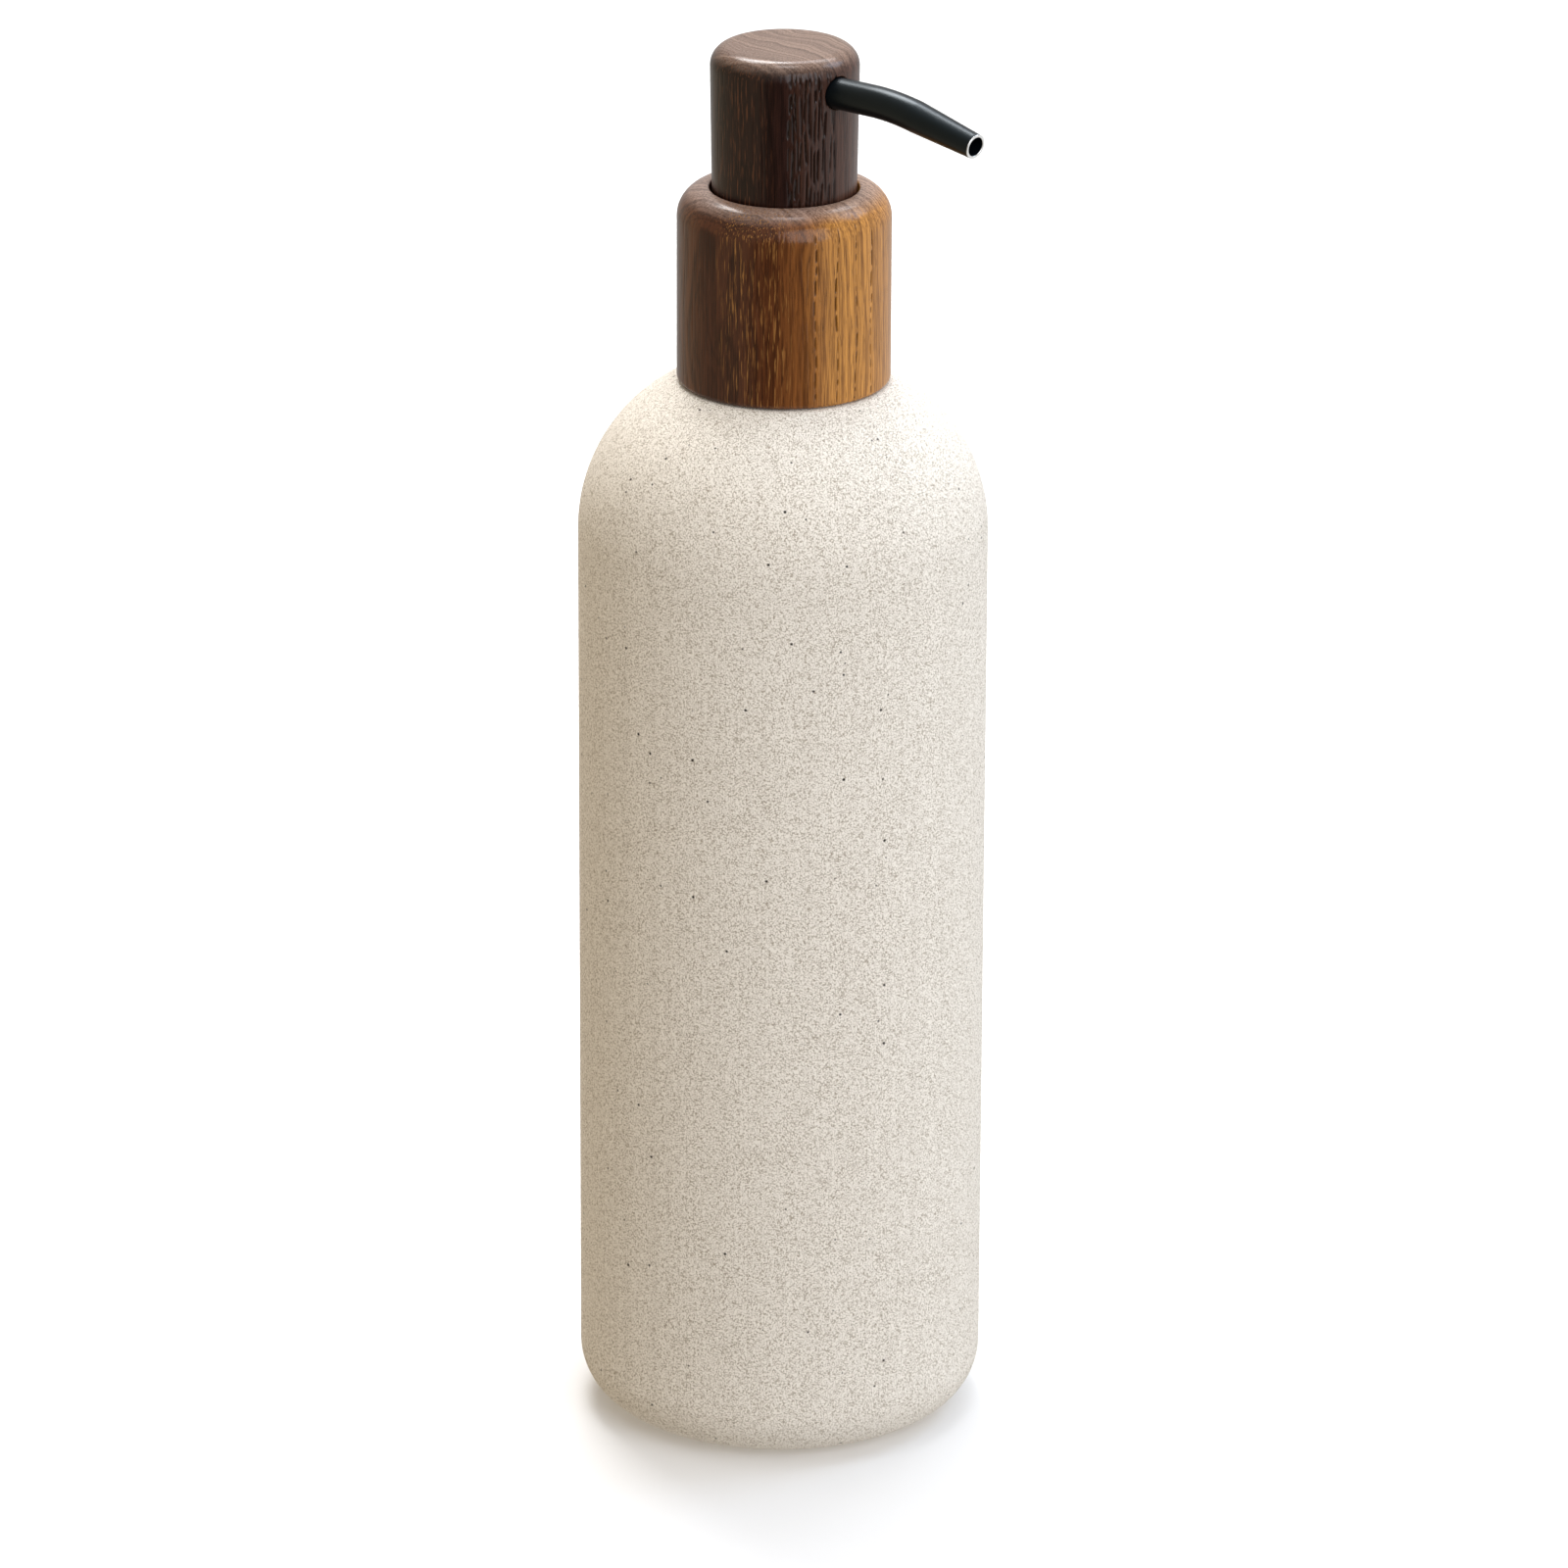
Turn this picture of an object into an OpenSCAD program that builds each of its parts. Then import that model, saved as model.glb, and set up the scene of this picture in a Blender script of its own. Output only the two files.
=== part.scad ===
// Refillable soap pump dispenser, in millimetres.
// A stone-effect bottle with a threaded neck carries a wood-clad, ball-valve lotion pump.
// The origin is the centre of the underside, +Z is up and the spout points along +X.

/* [Bottle] */
// Outer radius of the bottle
bottle_r = 33.5; // [33:0.1:36]
// Height where the straight side ends and the shoulder begins
side_top_z = 153.8; // [152:0.1:170]
// Radius of the shoulder's arc
shoulder_arc_r = 28.2; // [28:0.1:28.8]
// Radius of the rounded base edge
base_edge_r = 9.5; // [6:0.1:9.8]
// Thickness of the side wall
wall = 3.2; // [2.8:0.1:3.6]
// Thickness of the floor
floor_t = 5; // [4:0.1:6]
// Radius of the non-slip pad under the base
pad_r = 20; // [14:0.1:22]

/* [Neck] */
// Outer radius of the neck
neck_r = 12.55; // [12.45:0.01:12.65]
// Radius of the neck's bore
neck_bore_r = 9.5; // [9.2:0.1:9.8]
// Height of the neck above the flat land round its foot
neck_h = 12.4; // [12.2:0.1:12.8]
// Radius over the crest of the neck's thread
thread_r = 13.7; // [13.6:0.01:13.75]
// Rise of the thread in one turn
thread_pitch = 4.2; // [4.1:0.1:4.4]

/* [Wooden collar] */
// Outer radius of the collar
collar_r = 17.4; // [17.2:0.1:19]
// Height of the collar
collar_h = 32.45; // [30:0.05:33]
// Radius of the hole that the head slides in
collar_hole_r = 12.1; // [12.1:0.05:12.4]
// Radius of the rounded top edge
collar_edge_r = 5; // [3:0.1:5]

/* [Wooden head] */
// Outer radius at the head's lower end
head_foot_r = 11.7; // [11.5:0.05:11.75]
// Outer radius where the rounded top begins
head_r = 12.1; // [11.8:0.05:12.1]
// Height of the head
head_h = 27.5; // [27.5:0.1:30]
// Radius of the rounded top edge
head_edge_r = 3.3; // [2:0.1:4]

/* [Spout] */
// Outer radius of the tube
spout_r = 2.6; // [2.4:0.05:2.65]
// Outer radius at the tip
spout_tip_r = 2.03; // [1.9:0.01:2.3]
// Thickness of the tube's wall
spout_wall = 0.45; // [0.4:0.05:0.6]
// Rise of the straight part above level, in degrees
spout_rise = 2.4; // [0:0.1:4]
// Fall of the tip below level, in degrees
spout_fall = 9.8; // [6:0.1:14]
// Distance from the axis at which the bend begins
spout_bend_x = 19.1; // [17:0.1:24]
// Radius of the bend's centre line
spout_bend_r = 48; // [30:1:60]
// Length of the tapered tip
spout_tip_len = 12.9; // [8:0.1:20]

/* [Pump] */
// Travel of the head
stroke = 12; // [8:0.5:12]
// Radius of the pump chamber
chamber_r = 5; // [4.9:0.05:5.05]
// Radius of the piston's lips
piston_r = 4.95; // [4.85:0.05:4.95]
// Outer radius of the stem
stem_r = 3; // [2.9:0.05:3]
// Radius of the stem's bore
stem_bore_r = 1.7; // [1.6:0.05:1.8]
// Outer radius of the dip tube
dip_tube_r = 2.5; // [2.3:0.05:2.5]
// Radius of the dip tube's bore
dip_tube_bore_r = 1.7; // [1.5:0.05:1.9]
// Height of the dip tube's lower end above the underside
dip_tube_z = 8; // [7:0.5:20]
// Radius of the inlet valve's ball
inlet_ball_r = 2; // [1.8:0.05:2]
// Radius of the outlet valve's ball
outlet_ball_r = 1.5; // [1.4:0.05:1.5]
// Thickness of the spring's wire
wire_d = 0.8; // [0.6:0.05:0.8]
// Number of turns in the spring, with its two closed end turns
spring_turns = 8; // [6:1:8]

/* [Hidden] */

$fn = 96;

// Clearances
gap = 0.05;      // between faces of stacked pieces
fit = 0.05;      // radial, between pieces that slide or turn in each other
loose = 0.25;    // radial, between pieces that only pass each other
over = 1;        // how far a cutting shape reaches past what it cuts

// Bottle and neck
pad_t = 1.5;
pad_proud = 0.3;                      // how far the pad stands below the rim
shoulder_c = bottle_r - shoulder_arc_r;
shoulder_h = 25.4;
land_z = side_top_z + shoulder_h;     // flat land under the collar
neck_foot_r = 1.5;                    // fillet where the neck meets the land
lip_edge_r = 0.6;
lip_z = land_z + neck_h;
inside_r = bottle_r - wall;
inside_edge_r = base_edge_r - 2.5;    // the inside corner is a little tighter
inside_drop = 1.5;                    // extra thickness at the crown of the shoulder

// Thread ridges, as half widths at the root and at the crest
ridge_root = 1.1;
ridge_crest = 0.5;
cap_ridge_root = 0.7;
cap_ridge_crest = 0.35;
ridge_sunk = 0.4;                     // how deep a ridge's foot is set into its wall
neck_ridge_z = land_z + 5.2;          // middle of the neck's ridge where it starts
neck_ridge_turns = 1.15;
cap_ridge_turns = 1.0;
cap_ridge_r = 12.85;
cap_ridge_drop = ridge_root + cap_ridge_root - 0.3;  // the closure's ridge runs under the neck's
ridge_steps = 36;                     // sections in one turn

// Stack on top of the neck's lip
gasket_h = 0.95;
flange_t = 1.45;
flange_r = 11.9;
flange_z = lip_z + gasket_h + 2 * gap;
plate_t = 1.4;
plate_z = flange_z + flange_t + gap;
plate_top_z = plate_z + plate_t;
ring_z = plate_top_z + gap;
ring_lip_t = 1.2;
ring_lip_r = 9;
ring_top_z = ring_z + ring_lip_t;

// Threaded closure
closure_bore_r = 14;
closure_r = 15;
closure_rib_r = 0.5;
closure_ribs = 24;
closure_rib_inset = [1, 1.5];         // how far the ribs stop short of the lower and upper edge
closure_z = land_z + 2.8;             // lower edge of the skirt

// Pump housing
throat_r = 8;                         // outside of the part that passes the neck
shell_t = 1.2;                        // wall of the chamber and of the valve room
sleeve_r = 6.5;                       // retaining ring's sleeve
sleeve_z = ring_z - 17.55;            // lower end of the sleeve, the piston's upper stop
chamber_top_z = sleeve_z - gap;
chamber_out_r = chamber_r + shell_t;
chamber_z = chamber_top_z - stroke - 16.5;  // floor of the pump chamber
valve_room_r = 3.2;
valve_seat_r = 1.2;                   // throat under the inlet ball
socket_r = 4;
seat_apex_z = chamber_z - 8.3;        // where the inlet seat's cone would meet the axis
tube_stop_z = seat_apex_z - 0.2;      // the dip tube butts against this
socket_len = 13;                      // grip on the dip tube
vent_r = 0.6;
vent_z = lip_z - 5;

// Plunger
piston_h = 6;
piston_top_z = sleeve_z - 0.15;
piston_z = piston_top_z - piston_h;
seat_flange_t = 0.95;
seat_flange_r = 4.2;
seat_z = piston_z - gap - seat_flange_t;
stem_bead_r = 3.9;
stem_bead_h = 1 - gap;                // the bead that the piston pushes against
guide_r = stem_r + 0.06;              // running fit of the stem
guide_len = 8.8;
seal_wire_r = 0.7;

// Spring and ball cage
cage_t = 1.95;
cage_z = chamber_z + gap;
spring_z = cage_z + cage_t;
spring_top_z = seat_z - gap;
spring_mean_r = 3.3;
spring_nose_r = 2.7;                  // the noses that centre the spring's two ends
spring_nose_h = 1.5;
spring_steps = 20;                    // sections in one turn
spring_sides = 6;

// Head
collar_z = land_z + 0.25;             // the collar turns clear of the land
collar_top_z = collar_z + collar_h;
head_z = plate_top_z + stroke + 0.45; // foot of the head, which stops just above the closure
head_top_z = head_z + head_h;
core_r = 9.25;
core_wall = 1.25;
core_z = head_z + 2.2;                // the core sits inside the wood, above its foot
core_top_z = head_z + 18;
core_floor_z = core_top_z - 2.5;      // underside of the core's roof
boss_r = 4.5;
boss_z = head_z + 1.2;                // lower end of the stem's boss
socket_top_z = head_z + 14.2;         // the stem reaches up to here
spout_boss_r = 5.2;
spout_boss_top_z = head_z + 25;       // top of the boss that holds the spout
stem_top_z = socket_top_z - 0.2;
outlet_apex_z = stem_top_z - 5.5;     // where the outlet seat's cone would meet the axis
outlet_throat_r = 1;
outlet_room_r = 2;
outlet_way_r = 1.2;

// Spout
spout_z = head_z + 21.4;              // height at which its line crosses the axis
spout_in_x = 2.6;                     // inner end of the tube
spout_hole_r = spout_r + 0.2;         // hole in the wood
spout_seat_r = spout_r + fit;         // hole in the actuator core
spout_bore_r = spout_r - spout_wall;
spout_tip_bore_r = spout_tip_r - spout_wall;
oring_wire_r = 0.4;
oring_x = 3.45;
spout_sides = 28;
spout_bend_steps = 8;

// A seat whose cone opens at 45 degrees holds a ball this far above the cone's apex
function ball_rest(r) = r * sqrt(2) + fit;

// What rounding by r takes off the square corner at [x, y]; sx and sy point out of the corner
module corner_waste(x, y, r, sx, sy) {
    translate([x - sx * r, y - sy * r])
        difference() {
            translate([sx > 0 ? 0 : -(r + over), sy > 0 ? 0 : -(r + over)])
                square(r + over);
            circle(r);
        }
}

// A rectangle from [r0, z0] to [r1, z1], the section of a ring
module band(r0, r1, z0, z1) {
    translate([r0, z0]) square([r1 - r0, z1 - z0]);
}

// A ring with plain square edges
module ring(r0, r1, z0, z1) {
    rotate_extrude() band(r0, r1, z0, z1);
}

// Faces of a sweep with n steps and m points in a section, all numbered in order
function sweep_sides(n, m) = [
    for (i = [0:n - 1], j = [0:m - 1])
        let (a = i * m + j, b = i * m + (j + 1) % m)
        each [[a, b, b + m], [a, b + m, a + m]]
];
function sweep_caps(n, m) = [[for (j = [m - 1:-1:0]) j], [for (j = [0:m - 1]) n * m + j]];

// A helical ridge of the section [r, z] points, listed counter-clockwise, that fades out at its ends
module helical_ridge(section, root_r, pitch, turns, steps) {
    n = ceil(turns * steps);
    m = len(section);
    fade_steps = 4;
    least_size = 0.15;
    points = [
        for (i = [0:n], p = section)
            let (angle = 360 * turns * i / n,
                 fade = max(least_size, min(1, i / fade_steps, (n - i) / fade_steps)),
                 r = root_r + (p[0] - root_r) * (p[0] == root_r ? 1 : fade),
                 z = p[1] * fade + pitch * angle / 360)
            [r * cos(angle), r * sin(angle), z]
    ];
    polyhedron(points, concat(sweep_caps(n, m), sweep_sides(n, m)));
}

// Outline of the bottle's solid form, or of its inside when made smaller
module bottle_outline(r, z0, edge_r, arc_r, arc_z) {
    difference() {
        band(0, r, z0, arc_z);
        corner_waste(r, z0, edge_r, 1, -1);
    }
    intersection() {
        union() {
            translate([shoulder_c, arc_z]) circle(arc_r);
            band(0, shoulder_c, arc_z - over, arc_z + arc_r);
        }
        band(0, r, arc_z - gap, lip_z);
    }
}

module bottle() {
    color([0.83, 0.79, 0.73])
    difference() {
        union() {
            rotate_extrude($fn = 128) difference() {
                union() {
                    difference() {
                        bottle_outline(bottle_r, pad_proud, base_edge_r, shoulder_arc_r, side_top_z);
                        band(-over, bottle_r, land_z, lip_z + shoulder_arc_r);
                    }
                    band(0, neck_r, land_z - over, lip_z);
                    translate([neck_r, land_z]) difference() {
                        square(neck_foot_r);
                        translate([neck_foot_r, neck_foot_r]) circle(neck_foot_r);
                    }
                }
                corner_waste(neck_r, lip_z, lip_edge_r, 1, 1);
                bottle_outline(inside_r, floor_t, inside_edge_r, shoulder_arc_r - wall,
                               side_top_z - inside_drop);
                band(0, neck_bore_r, side_top_z, lip_z + over);
                corner_waste(neck_bore_r, lip_z, lip_edge_r, -1, 1);
            }
            translate([0, 0, neck_ridge_z])
                helical_ridge([[neck_r - ridge_sunk, -ridge_root], [thread_r, -ridge_crest],
                               [thread_r, ridge_crest], [neck_r - ridge_sunk, ridge_root]],
                              neck_r - ridge_sunk, thread_pitch, neck_ridge_turns, ridge_steps);
        }
        // recess for the non-slip pad
        translate([0, 0, -over])
            cylinder(r = pad_r + loose, h = pad_t + gap + over);
    }
}

module base_pad() {
    color([0.35, 0.34, 0.33])
    rotate_extrude() difference() {
        band(0, pad_r, 0, pad_t);
        corner_waste(pad_r, 0, pad_proud, 1, -1);
    }
}

module neck_gasket() {
    color([0.92, 0.92, 0.9])
    ring(throat_r + loose, flange_r, lip_z + gap, lip_z + gap + gasket_h);
}

module wood_collar() {
    foot_edge_r = 0.8;
    mouth_edge_r = 0.4;
    inner_r = closure_r + 0.35;
    color([0.50, 0.33, 0.17])
    rotate_extrude() difference() {
        band(collar_hole_r, collar_r, collar_z, collar_top_z);
        band(0, inner_r, collar_z - over, plate_top_z + 0.15);
        corner_waste(collar_r, collar_top_z, collar_edge_r, 1, 1);
        corner_waste(collar_hole_r, collar_top_z, mouth_edge_r, -1, 1);
        corner_waste(collar_r, collar_z, foot_edge_r, 1, -1);
        corner_waste(inner_r, collar_z, foot_edge_r / 2, -1, -1);
    }
}

module threaded_closure() {
    top_edge_r = 0.6;
    color([0.12, 0.12, 0.12])
    union() {
        rotate_extrude() difference() {
            band(throat_r + loose, closure_r, closure_z, plate_top_z);
            band(0, closure_bore_r, closure_z - over, plate_z);
            corner_waste(closure_r, plate_top_z, top_edge_r, 1, 1);
        }
        // ribs that key the closure into the wood
        for (i = [0:closure_ribs - 1])
            rotate([0, 0, 360 * (i + 0.5) / closure_ribs])
                translate([closure_r - closure_rib_r / 2, 0, closure_z + closure_rib_inset[0]])
                    cylinder(r = closure_rib_r, $fn = 24,
                             h = plate_top_z - closure_z - closure_rib_inset[0] - closure_rib_inset[1]);
        translate([0, 0, neck_ridge_z - cap_ridge_drop])
            helical_ridge([[cap_ridge_r, -cap_ridge_crest],
                           [closure_bore_r + ridge_sunk, -cap_ridge_root],
                           [closure_bore_r + ridge_sunk, cap_ridge_root],
                           [cap_ridge_r, cap_ridge_crest]],
                          closure_bore_r + ridge_sunk, thread_pitch, cap_ridge_turns, ridge_steps);
    }
}

module pump_housing() {
    valve_out_r = valve_room_r + shell_t;
    funnel_z = chamber_z - 3.5;       // where the wall widens out to the chamber
    throat_z = chamber_top_z - 1;     // where it has widened out to the throat
    throat_slope_h = 2.5;
    socket_slope_h = 0.6;
    top_z = ring_z - 0.2;
    top_edge_r = 0.4;
    color([0.9, 0.9, 0.88])
    difference() {
        rotate_extrude() difference() {
            union() {
                polygon([[0, tube_stop_z - socket_len], [socket_r, tube_stop_z - socket_len],
                         [socket_r, tube_stop_z], [valve_out_r, tube_stop_z + socket_slope_h],
                         [valve_out_r, funnel_z], [chamber_out_r, chamber_z - shell_t],
                         [chamber_out_r, throat_z - throat_slope_h], [throat_r, throat_z],
                         [throat_r, top_z], [0, top_z]]);
                band(0, flange_r, flange_z, flange_z + flange_t);
            }
            // the bore, from the dip tube's socket up to the retaining ring's seat
            band(-over, dip_tube_r + fit, 0, tube_stop_z);
            band(-over, valve_seat_r, tube_stop_z - over, chamber_z);
            polygon([[-over, seat_apex_z - over], [0, seat_apex_z],
                     [valve_room_r, seat_apex_z + valve_room_r], [valve_room_r, chamber_z + over],
                     [-over, chamber_z + over]]);
            band(-over, chamber_r, chamber_z, chamber_top_z + over);
            band(-over, sleeve_r + fit, chamber_top_z, ring_z + over);
            corner_waste(throat_r, top_z, top_edge_r, 1, 1);
        }
        // vent that lets air back into the bottle
        translate([0, 0, vent_z])
            rotate([0, 90, 0])
                cylinder(r = vent_r, h = throat_r + over, $fn = 24);
    }
}

module retaining_ring() {
    seal_room_r = stem_r + 2 * seal_wire_r + 0.1;
    lip_edge_r = 0.5;
    color([0.14, 0.14, 0.14])
    rotate_extrude() difference() {
        union() {
            band(0, sleeve_r, sleeve_z, ring_z + over);
            band(0, ring_lip_r, ring_z, ring_top_z);
        }
        band(-over, guide_r, sleeve_z - over, ring_top_z + over);
        band(0, seal_room_r, sleeve_z - over, ring_top_z - guide_len);
        corner_waste(ring_lip_r, ring_top_z, lip_edge_r, 1, 1);
    }
}

module stem_seal() {
    color([0.15, 0.15, 0.15])
    translate([0, 0, ring_top_z - guide_len - gap - seal_wire_r])
        rotate_extrude()
            translate([stem_r + fit + seal_wire_r, 0])
                circle(seal_wire_r, $fn = 32);
}

module ball_cage() {
    ways = 4;
    way_r = 0.65;
    stop_r = 0.8;
    way_at_r = stop_r + 0.9;
    ball_lift = 1.5;
    stop_z = seat_apex_z + ball_rest(inlet_ball_r) + inlet_ball_r + ball_lift + 2 * fit;
    color([0.9, 0.9, 0.88])
    difference() {
        union() {
            translate([0, 0, cage_z])
                cylinder(r = chamber_r - fit, h = cage_t);
            translate([0, 0, spring_z - gap])
                cylinder(r = spring_nose_r, h = spring_nose_h + gap);
            translate([0, 0, stop_z])
                cylinder(r = stop_r, h = cage_z - stop_z + gap, $fn = 32);
        }
        // ways through for the liquid, round the stop pin
        for (i = [0:ways - 1])
            rotate([0, 0, 360 * i / ways])
                translate([way_at_r, 0, cage_z - over])
                    cylinder(r = way_r, h = cage_t + spring_nose_h + 2 * over, $fn = 24);
    }
}

module inlet_ball() {
    color([0.75, 0.76, 0.78])
    translate([0, 0, seat_apex_z + ball_rest(inlet_ball_r)])
        sphere(inlet_ball_r, $fn = 48);
}

module dip_tube() {
    cut_angle = 30;
    color([0.93, 0.93, 0.92, 0.8])
    difference() {
        ring(dip_tube_bore_r, dip_tube_r, dip_tube_z, tube_stop_z - 0.2);
        // slanted lower end, so that it can't seal against the floor
        translate([-dip_tube_r, 0, dip_tube_z])
            rotate([0, -cut_angle, 0])
                translate([-2 * dip_tube_r, -2 * dip_tube_r, -8 * dip_tube_r])
                    cube([8 * dip_tube_r, 4 * dip_tube_r, 8 * dip_tube_r]);
    }
}

// Height of the spring's centre line after t turns: a closed turn at each end and even turns between
function spring_rise(t) =
    let (closed = wire_d + gap,
         open = (spring_top_z - spring_z - wire_d - 2 * closed) / (spring_turns - 2))
    t < 1 ? closed * t
    : t > spring_turns - 1 ? closed + open * (spring_turns - 2) + closed * (t - spring_turns + 1)
    : closed + open * (t - 1);

module return_spring() {
    n = spring_turns * spring_steps;
    m = spring_sides;
    points = [
        for (i = [0:n], j = [0:m - 1])
            let (t = i / spring_steps,
                 r = spring_mean_r + wire_d / 2 * cos(360 * j / m),
                 z = spring_z + wire_d / 2 + spring_rise(t) + wire_d / 2 * sin(360 * j / m))
            [r * cos(360 * t), r * sin(360 * t), z]
    ];
    color([0.75, 0.76, 0.78])
    polyhedron(points, concat(sweep_caps(n, m), sweep_sides(n, m)));
}

module piston() {
    lip_h = 1.4;
    waist_r = piston_r - 0.5;
    color([0.85, 0.85, 0.83])
    rotate_extrude() difference() {
        union() {
            band(0, waist_r, piston_z, piston_top_z);
            band(0, piston_r, piston_z, piston_z + lip_h);
            band(0, piston_r, piston_top_z - lip_h, piston_top_z);
        }
        band(-over, stem_r + fit, piston_z - over, piston_top_z + over);
    }
}

module piston_seat() {
    spigot_r = stem_bore_r - fit;
    way_r = 0.9;
    color([0.2, 0.2, 0.2])
    rotate_extrude() {
        band(way_r, spigot_r, seat_z, piston_top_z);
        band(way_r, seat_flange_r, seat_z, seat_z + seat_flange_t);
        band(way_r, spring_nose_r, seat_z - spring_nose_h, seat_z + gap);
    }
}

module stem() {
    throat_len = 1;                   // of the narrow way under the outlet seat
    color([0.16, 0.16, 0.16])
    rotate_extrude() difference() {
        union() {
            band(0, stem_r, piston_z, stem_top_z);
            band(0, stem_bead_r, piston_top_z + gap, piston_top_z + gap + stem_bead_h);
        }
        band(-over, stem_bore_r, piston_z - over, outlet_apex_z - throat_len);
        band(-over, outlet_throat_r, piston_z - over, stem_top_z);
        polygon([[-over, outlet_apex_z - over], [0, outlet_apex_z],
                 [outlet_room_r, outlet_apex_z + outlet_room_r], [outlet_room_r, stem_top_z + over],
                 [-over, stem_top_z + over]]);
    }
}

module outlet_ball() {
    color([0.75, 0.76, 0.78])
    translate([0, 0, outlet_apex_z + ball_rest(outlet_ball_r)])
        sphere(outlet_ball_r, $fn = 48);
}

// Places its children on the spout's straight line, with +Z along the line, at distance x from the axis
module on_spout_line(x) {
    translate([0, 0, spout_z])
        rotate([0, 90 - spout_rise, 0])
            translate([0, 0, x])
                children();
}

module actuator_core() {
    lead_in = 0.4;
    color([0.14, 0.14, 0.14])
    difference() {
        rotate_extrude() difference() {
            union() {
                band(0, core_r, core_z, core_top_z);
                band(0, spout_boss_r, core_top_z - over, spout_boss_top_z);
                band(0, boss_r, boss_z, core_top_z);
            }
            band(boss_r, core_r - core_wall, boss_z - over, core_floor_z);
            band(-over, stem_r + fit, boss_z - over, socket_top_z);
            band(-over, outlet_way_r, socket_top_z - over, spout_z);
            polygon([[0, boss_z - lead_in], [stem_r + fit + 2 * lead_in, boss_z - lead_in],
                     [stem_r + fit, boss_z + lead_in], [0, boss_z + lead_in]]);
        }
        // the spout's seat, with a wider mouth for its seal
        on_spout_line(-outlet_way_r)
            cylinder(r = outlet_way_r, h = spout_in_x + outlet_way_r);
        on_spout_line(spout_in_x - gap)
            cylinder(r = spout_seat_r, h = spout_boss_r);
        on_spout_line(oring_x - oring_wire_r - gap)
            cylinder(r = spout_r + fit + 2 * oring_wire_r, h = spout_boss_r);
    }
}

module wood_head() {
    foot_edge_r = 0.5;
    round_z = head_top_z - head_edge_r;
    color([0.20, 0.11, 0.08])
    difference() {
        rotate_extrude() difference() {
            union() {
                polygon([[0, head_z], [head_foot_r, head_z], [head_r, round_z], [0, round_z]]);
                band(0, head_r - head_edge_r, round_z - over, head_top_z);
                intersection() {
                    translate([head_r - head_edge_r, round_z]) circle(head_edge_r);
                    band(0, head_r, round_z - gap, head_top_z);
                }
            }
            band(-over, core_r + fit, head_z - over, core_top_z + loose);
            band(-over, spout_boss_r + fit, core_top_z, spout_boss_top_z + loose);
            corner_waste(head_foot_r, head_z, foot_edge_r, 1, -1);
        }
        on_spout_line(0)
            cylinder(r = spout_hole_r, h = head_r + over);
    }
}

// One section of the spout: [x, z] of its centre, heading above level, outer and bore radius.
// Section 0 is the inner end, sections 1 to spout_bend_steps + 1 lie on the bend, and the last is the tip.
function spout_section(i) =
    let (turned = (i - 1) / spout_bend_steps * (spout_rise + spout_fall),
         heading = i == 0 ? spout_rise : i > spout_bend_steps + 1 ? -spout_fall : spout_rise - turned,
         start = [spout_bend_x, spout_z + spout_bend_x * tan(spout_rise)],
         centre = start + spout_bend_r * [sin(spout_rise), -cos(spout_rise)],
         on_bend = centre + spout_bend_r * [-sin(heading), cos(heading)])
    i == 0
    ? [[spout_in_x, spout_z + spout_in_x * tan(spout_rise)], heading, spout_r, spout_bore_r]
    : i > spout_bend_steps + 1
    ? [on_bend + spout_tip_len * [cos(heading), sin(heading)], heading, spout_tip_r, spout_tip_bore_r]
    : [on_bend, heading, spout_r, spout_bore_r];

// The ring of points at radius r round a section
function section_ring(section, r) =
    [for (j = [0:spout_sides - 1])
        let (angle = 360 * j / spout_sides,
             up = r * cos(angle),
             heading = section[1])
        [section[0][0] - up * sin(heading), r * sin(angle), section[0][1] + up * cos(heading)]];

module spout_tube() {
    n = spout_bend_steps + 2;
    m = spout_sides;
    inner = (n + 1) * m;
    outer_points = [for (i = [0:n]) each section_ring(spout_section(i), spout_section(i)[2])];
    inner_points = [for (i = [0:n]) each section_ring(spout_section(i), spout_section(i)[3])];
    inner_sides = [for (face = sweep_sides(n, m)) [face[2] + inner, face[1] + inner, face[0] + inner]];
    ends = [
        for (j = [0:m - 1])
            let (k = (j + 1) % m, last = n * m)
            each [[j, inner + j, inner + k, k],
                  [last + j, last + k, inner + last + k, inner + last + j]]
    ];
    color([0.09, 0.10, 0.11])
    polyhedron(concat(outer_points, inner_points), concat(sweep_sides(n, m), inner_sides, ends));
}

module spout_seal() {
    color([0.15, 0.15, 0.15])
    on_spout_line(oring_x)
        rotate_extrude()
            translate([spout_r + fit / 2 + oring_wire_r, 0])
                circle(oring_wire_r, $fn = 24);
}

bottle();
base_pad();
neck_gasket();
wood_collar();
threaded_closure();
pump_housing();
retaining_ring();
stem_seal();
ball_cage();
inlet_ball();
dip_tube();
return_spring();
piston();
piston_seat();
stem();
outlet_ball();
actuator_core();
wood_head();
spout_tube();
spout_seal();
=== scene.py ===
"""Looks of a stone-effect soap pump dispenser with a two-tone wooden collar and head.

Everything is in metres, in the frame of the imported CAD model. Profiles are lists of (radius, height) points.
"""

import math
import random
from collections import namedtuple

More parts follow.
